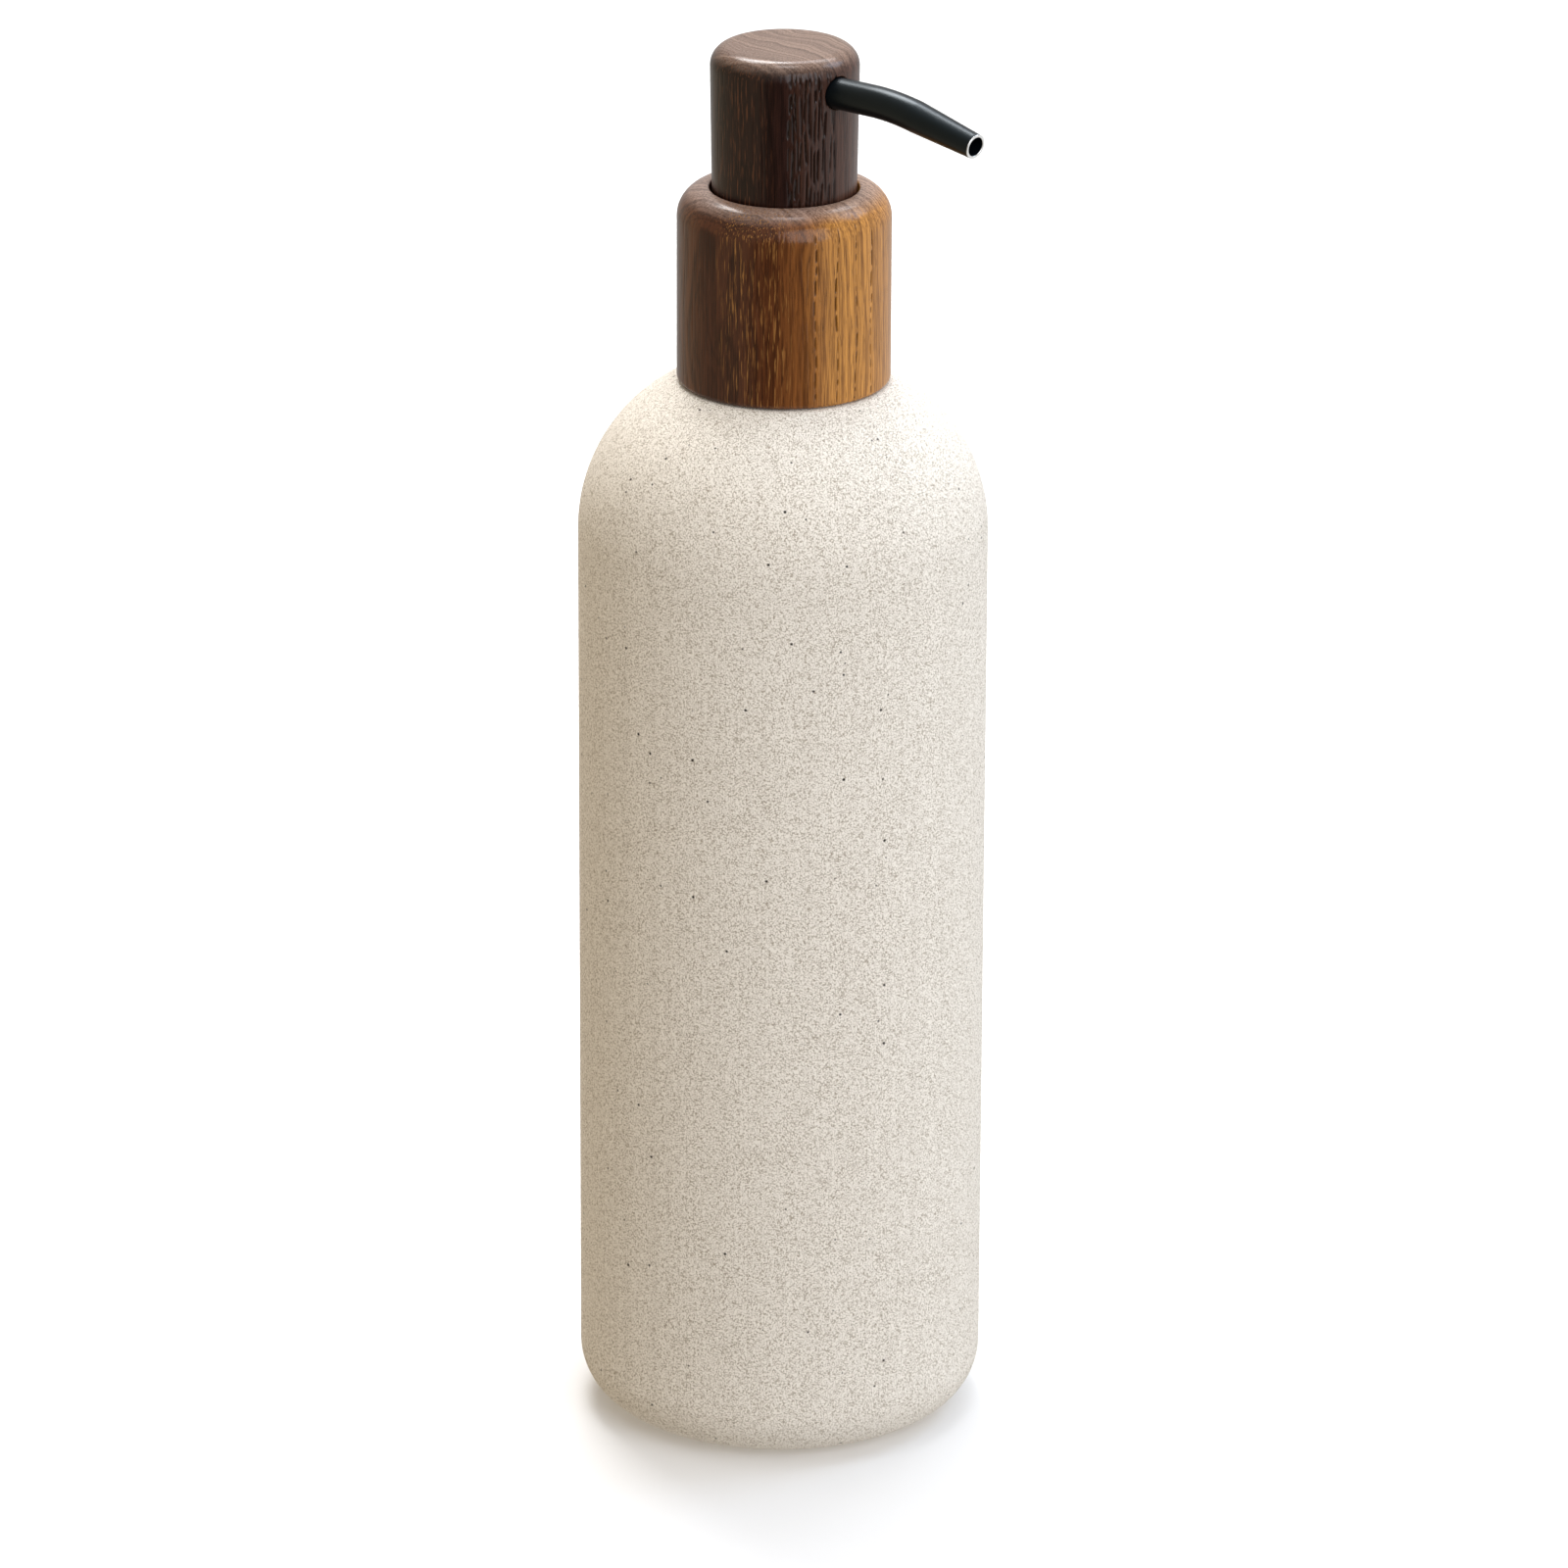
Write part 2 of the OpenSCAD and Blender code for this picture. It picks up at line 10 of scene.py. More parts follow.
import bpy
import numpy as np
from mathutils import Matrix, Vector


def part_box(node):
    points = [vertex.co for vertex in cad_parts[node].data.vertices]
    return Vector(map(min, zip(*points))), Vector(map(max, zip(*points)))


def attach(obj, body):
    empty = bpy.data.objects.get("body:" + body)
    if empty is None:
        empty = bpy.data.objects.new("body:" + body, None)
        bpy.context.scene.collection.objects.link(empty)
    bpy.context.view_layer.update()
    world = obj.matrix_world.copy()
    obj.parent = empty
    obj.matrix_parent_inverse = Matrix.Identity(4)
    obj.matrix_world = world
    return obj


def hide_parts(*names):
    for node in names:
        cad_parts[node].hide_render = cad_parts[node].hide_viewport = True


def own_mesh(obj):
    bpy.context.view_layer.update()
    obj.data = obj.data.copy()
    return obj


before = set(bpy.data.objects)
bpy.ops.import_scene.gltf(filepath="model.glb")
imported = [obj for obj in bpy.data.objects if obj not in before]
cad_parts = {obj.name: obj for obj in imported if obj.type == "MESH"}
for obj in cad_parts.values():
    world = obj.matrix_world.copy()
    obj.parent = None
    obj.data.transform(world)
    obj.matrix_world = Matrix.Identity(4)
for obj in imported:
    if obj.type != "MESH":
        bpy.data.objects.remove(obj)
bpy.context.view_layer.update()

MM = 0.001
CAMERA_AZIMUTH = math.radians(44)     # the camera stands this far round from -Y towards +X


# ---------------------------------------------------------------- meshes

def arc(centre_r, centre_z, radius, start, end, steps):
    """Points on an arc in the (radius, height) plane, from one angle in degrees to another."""
    angles = [math.radians(start + (end - start) * i / steps) for i in range(steps + 1)]
    return [(centre_r + radius * math.cos(a), centre_z + radius * math.sin(a)) for a in angles]


def line(start, end, steps):
    """Evenly spaced points from start to end, without the first one."""
    return [tuple(s + (e - s) * i / steps for s, e in zip(start, end)) for i in range(1, steps + 1)]


def signed_volume(points, faces):
    """Volume of a closed mesh of triangles and quads, negative if its faces look inwards."""
    total = 0.0
    for size in (3, 4):
        chosen = np.array([f for f in faces if len(f) == size])
        if len(chosen) == 0:
            continue
        for k in range(1, size - 1):
            a, b, c = (points[chosen[:, i]] for i in (0, k, k + 1))
            total += np.einsum("ij,ij->i", a, np.cross(b, c)).sum() / 6
    return total


def make_object(name, points, faces, sharp_angle=40):
    """A smooth-shaded object whose faces look outwards, sharp where it turns by more than sharp_angle."""
    points = np.asarray(points, float)
    if signed_volume(points, faces) < 0:
        faces = [f[::-1] for f in faces]
    mesh = bpy.data.meshes.new(name)
    mesh.from_pydata(points.tolist(), [], faces)
    mesh.shade_smooth()
    mesh.set_sharp_from_angle(angle=math.radians(sharp_angle))
    obj = bpy.data.objects.new(name, mesh)
    bpy.context.scene.collection.objects.link(obj)
    return obj


def lathe(name, profile, segments, relief=None):
    """Turns a closed profile round the Z axis. A profile that starts on the axis also ends there.

    relief(angles, profile) gives how far each point is moved outwards, as an array of points by segments.
    """
    angles = np.arange(segments) * 2 * math.pi / segments
    profile = np.array(profile)
    radii = np.repeat(profile[:, :1], segments, axis=1)
    if relief is not None:
        radii = radii + relief(angles, profile)
    points, rings = [], []
    for (r, z), ring_radii in zip(profile, radii):
        if r < 1e-9:
            rings.append([len(points)] * segments)
            points.append((0.0, 0.0, z))
            continue
        first = len(points)
        rings.append(list(range(first, first + segments)))
        points.extend(zip(ring_radii * np.cos(angles), ring_radii * np.sin(angles), [z] * segments))
    pairs = list(zip(rings, rings[1:]))
    if profile[0][0] > 1e-9:
        pairs.append((rings[-1], rings[0]))
    faces = []
    for a, b in pairs:
        for j in range(segments):
            k = (j + 1) % segments
            corners = [a[j], a[k], b[k], b[j]]
            faces.append(tuple(dict.fromkeys(corners)))
    return make_object(name, points, faces)


def sweep(name, sections, sides, closed):
    """Skins rings of points. sections are (centre, side direction, up direction, radius).

    A closed sweep joins its last section to its first, and an open one gets flat ends.
    """
    points = []
    for centre, across, up, radius in sections:
        for j in range(sides):
            angle = 2 * math.pi * j / sides
            points.append(centre + radius * (math.cos(angle) * across + math.sin(angle) * up))
    count = len(sections)
    faces = []
    for i in range(count if closed else count - 1):
        a, b = i * sides, (i + 1) % count * sides
        faces += [(a + j, a + (j + 1) % sides, b + (j + 1) % sides, b + j) for j in range(sides)]
    if closed:
        return make_object(name, points, faces)
    for centre, first in ((sections[0][0], 0), (sections[-1][0], (count - 1) * sides)):
        hub = len(points)
        points.append(centre)
        turn = 1 if first == 0 else -1
        faces += [(hub, first + (j + 1) % sides, first + j)[::turn] for j in range(sides)]
    return make_object(name, points, faces)


# ---------------------------------------------------------------- shader graphs

class Graph:
    """Builds a node tree. Each method adds a node and returns its output socket."""

    def __init__(self, tree):
        self.tree = tree

    def node(self, kind, settings=None, **inputs):
        made = self.tree.nodes.new(kind)
        for key, value in (settings or {}).items():
            setattr(made, key, value)
        for key, value in inputs.items():
            self.put(made.inputs[key.replace("_", " ")], value)
        return made

    def put(self, socket, value):
        if isinstance(value, bpy.types.NodeSocket):
            self.tree.links.new(value, socket)
        else:
            socket.default_value = value

    def calc(self, operation, a, b=0.0):
        made = self.node("ShaderNodeMath", {"operation": operation})
        self.put(made.inputs[0], a)
        self.put(made.inputs[1], b)
        return made.outputs[0]

    def dot(self, vector, direction):
        made = self.node("ShaderNodeVectorMath", {"operation": "DOT_PRODUCT"})
        self.put(made.inputs[0], vector)
        self.put(made.inputs[1], direction)
        return made.outputs["Value"]

    def step(self, value, low, high, out_low=0.0, out_high=1.0):
        """Rises smoothly from out_low to out_high as value goes from low to high."""
        made = self.node("ShaderNodeMapRange", {"interpolation_type": "SMOOTHSTEP"}, Value=value)
        for key, number in (("From Min", low), ("From Max", high), ("To Min", out_low), ("To Max", out_high)):
            self.put(made.inputs[key], number)
        return made.outputs["Result"]

    def step_linear(self, value, low, high):
        """Rises evenly from 0 to 1 as value goes from low to high."""
        made = self.node("ShaderNodeMapRange", Value=value)
        self.put(made.inputs["From Min"], low)
        self.put(made.inputs["From Max"], high)
        return made.outputs["Result"]

    def mix(self, factor, a, b, blend="MIX"):
        made = self.node("ShaderNodeMix", {"data_type": "RGBA", "blend_type": blend})
        for index, value in ((0, factor), (6, a), (7, b)):
            self.put(made.inputs[index], value)
        return made.outputs[2]

    def ramp(self, value, stops):
        """A colour ramp through (position, colour) stops."""
        made = self.node("ShaderNodeValToRGB", Fac=value)
        elements = made.color_ramp.elements
        while len(elements) < len(stops):
            elements.new(1.0)
        for element, (position, colour) in zip(elements, stops):
            element.position = position
            element.color = (*colour, 1)
        return made.outputs["Color"]

    def scaled(self, vector, scale, turn=0.0):
        """A vector scaled along each axis and then turned about Z."""
        made = self.node("ShaderNodeMapping", Vector=vector, Scale=scale, Rotation=(0, 0, turn))
        return made.outputs[0]

    def noise(self, vector, scale, detail=2.0, roughness=0.5):
        made = self.node("ShaderNodeTexNoise", Vector=vector, Scale=scale, Detail=detail,
                         Roughness=roughness)
        return made.outputs[0]

    def noise_line(self, position, scale, detail=2.0, roughness=0.5):
        """Noise that varies along one number only."""
        made = self.node("ShaderNodeTexNoise", {"noise_dimensions": "1D"}, W=position, Scale=scale,
                         Detail=detail, Roughness=roughness)
        return made.outputs[0]

    def bump(self, height, depth, strength=1.0):
        made = self.node("ShaderNodeBump", Height=height, Distance=depth, Strength=strength)
        return made.outputs[0]


class Material(Graph):
    """A principled material. Sockets are given by name with underscores for spaces."""

    def __init__(self, name, **sockets):
        self.material = bpy.data.materials.new(name)
        self.material.use_nodes = True
        super().__init__(self.material.node_tree)
        self.shader = self.tree.nodes["Principled BSDF"]
        self.set(**sockets)

    def set(self, **sockets):
        for key, value in sockets.items():
            self.put(self.shader.inputs[key.replace("_", " ")], value)

    def position(self):
        """The place on the piece in millimetres."""
        return self.scaled(self.node("ShaderNodeTexCoord").outputs["Object"], (1 / MM,) * 3)


def stone():
    """Sandy cast stone: pale grains in tan veins, slow clouds and scattered black specks."""
    veins_per_mm, vein_width, clouds_per_mm = 2.4, 0.075, 0.05
    speck_cell, speck_share, speck_reach = 2.7, 0.75, 0.095
    m = Material("stone_cream", Roughness=0.78, Specular_IOR_Level=0.3)
    place = m.position()
    crease = m.calc("ABSOLUTE", m.calc("SUBTRACT", m.noise(place, veins_per_mm, 1.0, 0.5), 0.5))
    grain = m.step(crease, 0.0, vein_width)
    cloud = m.noise(place, clouds_per_mm, 2.0)
    pale = m.mix(cloud, (0.880, 0.828, 0.748, 1), (0.905, 0.858, 0.782, 1))
    vein = m.mix(cloud, (0.330, 0.270, 0.200, 1), (0.400, 0.340, 0.265, 1))
    colour = m.mix(grain, vein, pale)
    cells = m.node("ShaderNodeTexVoronoi", Vector=place, Scale=1 / speck_cell)
    chance = m.node("ShaderNodeSeparateColor", Color=cells.outputs["Color"])
    reach = m.step(chance.outputs[0], 1 - speck_share, 1.0, 0.0, speck_reach)
    speck = m.calc("LESS_THAN", cells.outputs["Distance"], reach)
    m.set(Base_Color=m.mix(speck, colour, (0.035, 0.028, 0.022, 1)))
    m.set(Normal=m.bump(grain, 0.03 * MM, 0.5))
    return m.material


def wood_base(m, across, tone, end_grain_and_sheen_tone, top_from):
    """The colour across the view. Where the surface faces up it turns paler: partly sanded end grain, partly
    painted sheen.
    """
    low, high = tone[0][0], tone[-1][0]
    stops = [((x - low) / (high - low), colour) for x, colour in tone]
    side = m.ramp(m.step_linear(across, low, high), stops)
    normal = m.node("ShaderNodeTexCoord").outputs["Normal"]
    facing_up = m.node("ShaderNodeSeparateXYZ", Vector=normal).outputs[2]
    # Painted sheen: surfaces facing up turn to a paler tone, partly the end grain's own colour and partly the
    # light from above.
    return m.mix(m.step(facing_up, *top_from, 0.0, 0.85), side, (*end_grain_and_sheen_tone, 1))


def wood_grain(m, base, across, inwards, fibre, contrast):
    """The base colour made darker and lighter along the growth rings and the fibres."""
    ring_place = m.calc("ADD", m.calc("MULTIPLY", inwards, 0.75), m.calc("MULTIPLY", across, 0.66))
    rings = m.noise_line(ring_place, 1.1, 3.0, 0.6)
    shade = m.calc("ADD", m.step(rings, 0.3, 0.7, -0.5, 0.5), m.step(fibre, 0.3, 0.7, -0.5, 0.5))
    darker = m.mix(1.0, base, (0.50, 0.44, 0.40, 1), "MULTIPLY")
    lighter = m.mix(1.0, base, (1.50, 1.50, 1.45, 1), "MULTIPLY")
    return m.mix(m.step(shade, -contrast, contrast), darker, lighter)


def wood(name, tone, end_grain_and_sheen_tone, top_from, pale_tone, pale_from, pale_to, fibre_contrast):
    """Solid wood whose grain runs up Z.

    tone is the colour by the distance across the view, in millimetres. end_grain_and_sheen_tone is the paler
    colour where the surface faces up, partly the sanded end grain's own and partly a painted sheen of the
    light from above; it fades in over top_from, two amounts of how far the surface faces up. Lines of
    pale_tone fade in over pale_from and out over pale_to, both distances across.
    """
    warp_reach = 5.0
    m = Material(name, Roughness=0.42, Specular_IOR_Level=0.04, Coat_Weight=0.5, Coat_Roughness=0.2)
    place = m.scaled(m.position(), (1, 1, 1), -CAMERA_AZIMUTH)
    warp = m.calc("SUBTRACT", m.noise(m.scaled(place, (0.09, 0.09, 0.025)), 1.0, 2.0), 0.5)
    shift = m.calc("MULTIPLY", warp, warp_reach)
    parts = m.node("ShaderNodeSeparateXYZ", Vector=place).outputs
    across = m.calc("ADD", parts[0], shift)
    inwards = m.calc("ADD", parts[1], shift)
    base = wood_base(m, across, tone, end_grain_and_sheen_tone, top_from)
    fibre = m.noise(m.scaled(place, (3.6, 3.6, 0.14)), 1.0, 3.0, 0.6)
    colour = wood_grain(m, base, across, inwards, fibre, fibre_contrast)
    pale_line = m.step(m.noise(m.scaled(place, (4.6, 4.6, 0.22)), 1.0, 2.0, 0.5), 0.56, 0.68)
    pale_zone = m.calc("MULTIPLY", m.step(across, *pale_from), m.step(across, *pale_to, 1.0, 0.0))
    colour = m.mix(m.calc("MULTIPLY", pale_line, pale_zone), colour, (*pale_tone, 1))
    pore = m.step(m.noise(m.scaled(place, (5.5, 5.5, 0.35)), 1.0, 2.0, 0.5), 0.60, 0.70)
    groove = m.node("ShaderNodeAttribute", {"attribute_name": "pore"}).outputs["Fac"]
    dark = m.calc("MAXIMUM", m.calc("MULTIPLY", pore, 0.55), m.step(groove, 0.15, 0.9, 0.0, 0.68))
    inside_pore = m.mix(1.0, base, (0.14, 0.11, 0.10, 1), "MULTIPLY")
    m.set(Base_Color=m.mix(dark, colour, inside_pore))
    height = m.calc("SUBTRACT", m.calc("MULTIPLY", fibre, 0.5), pore)
    m.set(Normal=m.bump(height, 0.04 * MM, 0.55))
    return m.material


def collar_wood():
    tone = [(-17, (0.100, 0.040, 0.018)), (-13, (0.058, 0.018, 0.008)), (-8, (0.050, 0.016, 0.007)),
            (-2, (0.090, 0.028, 0.008)), (3, (0.165, 0.058, 0.014)), (5.5, (0.270, 0.110, 0.026)),
            (8, (0.400, 0.180, 0.040)), (12, (0.420, 0.190, 0.042)), (17, (0.400, 0.180, 0.045))]
    # The paler up-facing tone is partly end grain and partly a painted sheen of the overhead light along the
    # roll.
    return wood("two_tone_wood", tone, (0.290, 0.205, 0.170), (0.55, 1.0), (0.290, 0.130, 0.036),
                (-12, -8), (0, 3), 1.0)


def head_wood():
    tone = [(-12, (0.024, 0.010, 0.007)), (-9, (0.013, 0.005, 0.004)), (-4, (0.016, 0.006, 0.004)),
            (0, (0.020, 0.007, 0.005)), (2, (0.040, 0.016, 0.010)), (7, (0.046, 0.021, 0.015)),
            (12, (0.070, 0.032, 0.022))]
    # The paler up-facing tone is partly end grain and partly a painted reflection of the bright light on the
    # top.
    return wood("dark_walnut", tone, (0.220, 0.148, 0.114), (0.30, 1.0), (0.100, 0.036, 0.016),
                (-13, -11), (-6, 0), 0.9)


def painted_black():
    """Dull black paint with a faint orange peel."""
    m = Material("matt_black_paint", Roughness=0.3, Specular_IOR_Level=0.24,
                 Specular_Tint=(0.72, 0.9, 1, 1))
    place = m.position()
    cloud = m.noise(place, 0.6, 3.0)
    m.set(Base_Color=m.mix(cloud, (0.0012, 0.0026, 0.0038, 1), (0.0026, 0.0046, 0.0064, 1)))
    m.set(Normal=m.bump(m.noise(place, 5.0, 2.0), 0.01 * MM, 0.35))
    return m.material


def bare_metal():
    """Freshly cut metal, slightly uneven in gloss."""
    m = Material("bare_metal", Metallic=1.0, Base_Color=(0.78, 0.78, 0.77, 1))
    m.set(Roughness=m.step(m.noise(m.position(), 9.0, 2.0), 0.3, 0.7, 0.16, 0.3))
    return m.material


def steel():
    m = Material("spring_steel", Metallic=1.0, Base_Color=(0.62, 0.62, 0.61, 1))
    m.set(Roughness=m.step(m.noise(m.position(), 3.0, 3.0), 0.3, 0.7, 0.18, 0.36))
    return m.material


def moulded(name, dark, light, roughness, grain=2.5, **sockets):
    """Moulded plastic or rubber: a slight unevenness of colour and a fine texture."""
    m = Material(name, Roughness=roughness, **sockets)
    place = m.position()
    m.set(Base_Color=m.mix(m.noise(place, 0.35, 3.0), (*dark, 1), (*light, 1)))
    m.set(Normal=m.bump(m.noise(place, grain, 3.0), 0.02 * MM, 0.3))
    return m.material


def dress(obj, *materials):
    """Gives an object these materials and no others."""
    obj.data.materials.clear()
    for material in materials:
        obj.data.materials.append(material)


# ---------------------------------------------------------------- bottle

PAD_RECESS_R = 20.25 * MM
PAD_RECESS_Z = 1.55 * MM
NECK_H = 12.4 * MM
NECK_FOOT_R = 1.5 * MM
LIP_EDGE_R = 0.6 * MM
SHOULDER_ARC_R = 28.2 * MM
BASE_EDGE_R = 9.5 * MM
BORE_R = 9.5 * MM
WALL = 3.2 * MM
NECK_R = 12.55 * MM
THREAD_PITCH = 4.2 * MM
THREAD_TURNS = 1.15
THREAD_H = 1.15 * MM
THREAD_START = 5.2 * MM               # the thread's lower end above the shoulder's land
THREAD_HALF_WIDTH = 0.95 * MM
THREAD_FLANK = 0.45 * MM
LAND_R = 17.55 * MM                   # the flat land under the collar
FLOOR_Z = 5 * MM
FLOOR_EDGE_R = 7 * MM
INSIDE_DROP = 1.5 * MM                # how much lower the shoulder starts inside than outside


def bottle_profile():
    low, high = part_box("bottle")
    radius, rim_z, lip_z = high.x, low.z, high.z
    land_z = lip_z - NECK_H
    shoulder_c = radius - SHOULDER_ARC_R
    side_top = land_z - math.sqrt(SHOULDER_ARC_R ** 2 - (LAND_R - shoulder_c) ** 2)
    crown = math.degrees(math.asin((land_z - side_top) / SHOULDER_ARC_R))
    inside_r, inside_arc_r, inside_top = radius - WALL, SHOULDER_ARC_R - WALL, side_top - INSIDE_DROP
    inside_crown = math.degrees(math.acos((BORE_R - shoulder_c) / inside_arc_r))
    base_c = radius - BASE_EDGE_R
    foot_r = NECK_R + NECK_FOOT_R
    lip_c = lip_z - LIP_EDGE_R
    points = [(0, PAD_RECESS_Z), (PAD_RECESS_R, PAD_RECESS_Z), (PAD_RECESS_R, rim_z)]
    points += arc(base_c, rim_z + BASE_EDGE_R, BASE_EDGE_R, -90, 0, 24)
    points += line(points[-1], (radius, side_top), 40)
    points += arc(shoulder_c, side_top, SHOULDER_ARC_R, 0, crown, 48)[1:]
    points += arc(foot_r, land_z + NECK_FOOT_R, NECK_FOOT_R, -90, -180, 8)
    points += line(points[-1], (NECK_R, lip_c), 56)
    points += arc(NECK_R - LIP_EDGE_R, lip_c, LIP_EDGE_R, 0, 90, 6)[1:]
    points += arc(BORE_R + LIP_EDGE_R, lip_c, LIP_EDGE_R, 90, 180, 6)
    points += arc(shoulder_c, inside_top, inside_arc_r, inside_crown, 0, 20)
    points += arc(inside_r - FLOOR_EDGE_R, FLOOR_Z + FLOOR_EDGE_R, FLOOR_EDGE_R, 0, -90, 10)
    return points + [(0, FLOOR_Z)]


def neck_thread(angles, profile):
    """The neck's raised thread, as how far each point of the profile stands out."""
    lip_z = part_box("bottle")[1].z
    start_z = lip_z - NECK_H + THREAD_START
    height = np.zeros((len(profile), len(angles)))
    on_neck = (np.abs(profile[:, 0] - NECK_R) < 0.01 * MM)[:, None]
    for lap in (0, 1):
        turn = angles / (2 * math.pi) + lap
        fade = np.clip(np.minimum(turn, THREAD_TURNS - turn) * 10, 0, 1)
        away = np.abs(profile[:, 1:] - start_z - THREAD_PITCH * turn)
        ridge = np.clip((THREAD_HALF_WIDTH * fade - away) / THREAD_FLANK, 0, 1)
        height = np.maximum(height, THREAD_H * fade * ridge * ridge * (3 - 2 * ridge) * on_neck)
    return height


def make_bottle():
    obj = lathe("bottle_shell", bottle_profile(), 256, neck_thread)
    dress(obj, stone())
    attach(obj, "bottle")
    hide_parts("bottle")


# ---------------------------------------------------------------- wood

# length, space, depth and half width of a kind's pores, and how far apart its rows stand, all in millimetres
PoreKind = namedtuple("PoreKind", "length space depth width row_gap")

FULL_PORE = 0.12 * MM                 # a groove this deep takes the whole pore colour
PORE_SWAY_LENGTH = 3.5 * MM


def pore_depths(profile, angles, pores, reach):
    """How deep the pores cut at each point of an outer surface.

    reach is each profile point's share of the depth. Each pore is (angle, lower z, upper z, depth, half width
    as an angle, sway as an angle, sway phase).
    """
    depth = np.zeros((len(profile), len(angles)))
    heights = profile[:, 1]
    pitch = angles[1] - angles[0]
    for angle, low, high, deep, half_width, sway, phase in pores:
        rows = np.nonzero((heights > low) & (heights < high) & (reach > 0))[0]
        if len(rows) == 0:
            continue
        along = (heights[rows] - low) / (high - low)
        ends = np.clip(np.minimum(along, 1 - along) * 6, 0, 1)
        middle = angle + sway * np.sin(phase + heights[rows] / PORE_SWAY_LENGTH)
        span = int(half_width * 2.5 / pitch) + 1
        nearest = np.round(middle / pitch).astype(int)
        for offset in range(-span, span + 1):
            column = nearest + offset
            away = column * pitch - middle
            cut = deep * ends * reach[rows] * np.exp(-(away / half_width) ** 2)
            column %= len(angles)
            depth[rows, column] = np.maximum(depth[rows, column], cut)
    return depth


def turned_wood(name, profile, segments, pores, reach):
    """A lathe piece with pores cut into its outside. The attribute pore says how deep each point lies."""
    profile = np.array(profile)
    angles = np.arange(segments) * 2 * math.pi / segments
    depth = pore_depths(profile, angles, pores, np.array(reach))
    obj = lathe(name, profile, segments, lambda *_: -depth)
    on_axis = profile[:, 0] < 1e-9
    values = np.concatenate([row[:1] if axis else row for row, axis in zip(depth, on_axis)])
    attribute = obj.data.attributes.new("pore", "FLOAT", "POINT")
    attribute.data.foreach_set("value", (values / FULL_PORE).astype(np.float32))
    return obj


def pore_line(rng, angle, radius, low, high, kind):
    """Pores of one kind end to end up one growth ring, from low to high."""
    length, space, depth, width = (size * MM for size in kind[:4])
    sway, phase = rng.uniform(0.1, 0.25) * MM / radius, rng.uniform(0, 6)
    pores, z = [], low - rng.uniform(0, 1) * length
    while z < high:
        top = z + length * rng.uniform(0.4, 1.6)
        drift = rng.gauss(0, 0.06) * MM / radius
        pores.append((angle + drift, z, top, depth * rng.uniform(0.4, 1.0),
                      width * rng.uniform(0.7, 1.2) / radius, sway, phase))
        z = top + space * rng.uniform(0.2, 2.0)
    return pores


def across_to_angles(across, radius):
    """The two angles round Z where a ring at this distance across the photograph's view meets the surface."""
    half = math.acos(across / radius)
    return [(CAMERA_AZIMUTH + side * half) % (2 * math.pi) for side in (-1, 1)]


def wood_pores(seed, radius, low, high, start, open_from, open_to, open_grain, plain):
    """Rows of pores from start across the piece: open_grain between open_from and open_to, else plain."""
    rng = random.Random(seed)
    pores, across = [], start
    while across < radius:
        kind = open_grain if open_from < across < open_to else plain
        for angle in across_to_angles(across, radius):
            pores += pore_line(rng, angle, radius, low, high, kind)
        across += rng.uniform(*kind.row_gap) * MM
    return pores


def collar_pores(radius, low, high):
    golden = PoreKind(2.2, 0.5, 0.24, 0.13, (1.9, 3.6))
    plain = PoreKind(6.0, 3.0, 0.06, 0.11, (0.35, 1.1))
    return wood_pores(7, radius, low, high, -16.8 * MM, 4 * MM, radius, golden, plain)


def head_pores(radius, low, high):
    open_grain = PoreKind(6.0, 0.4, 0.26, 0.19, (0.45, 0.85))
    plain = PoreKind(9.0, 2.5, 0.045, 0.12, (0.4, 1.2))
    return wood_pores(21, radius, low, high, -11.9 * MM, 0.6 * MM, 8.2 * MM, open_grain, plain)


def make_collar():
    low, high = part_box("wood_collar")
    radius, hole_r, bore_r = high.x, 12.1 * MM, 15.35 * MM
    step_z = low.z + 16.25 * MM
    edge, foot, mouth, inner = 5 * MM, 0.8 * MM, 0.4 * MM, 0.4 * MM
    roll = math.degrees(math.acos((hole_r + mouth - radius + edge) / edge))
    points = arc(radius - foot, low.z + foot, foot, -90, 0, 6)
    side_start = len(points) - 1
    points += line(points[-1], (radius, high.z - edge), 84)
    side_end = len(points)
    points += arc(radius - edge, high.z - edge, edge, 0, roll, 26)[1:]
    roll_end = len(points)
    points += arc(hole_r + mouth, high.z - mouth, mouth, 90, 180, 5)[1:]
    points += [(hole_r, step_z), (bore_r, step_z)]
    points += arc(bore_r + inner, low.z + inner, inner, 180, 270, 4)
    reach = np.zeros(len(points))
    reach[side_start:side_end] = 1
    reach[side_end:roll_end] = np.clip(1.3 - 2.2 * np.arange(roll_end - side_end) / 26, 0, 1)
    pores = collar_pores(radius, low.z - 2 * MM, high.z)
    obj = turned_wood("collar_wood_shell", points, 720, pores, reach)
    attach(obj, "collar")
    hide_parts("wood_collar")
    dress(obj, collar_wood())


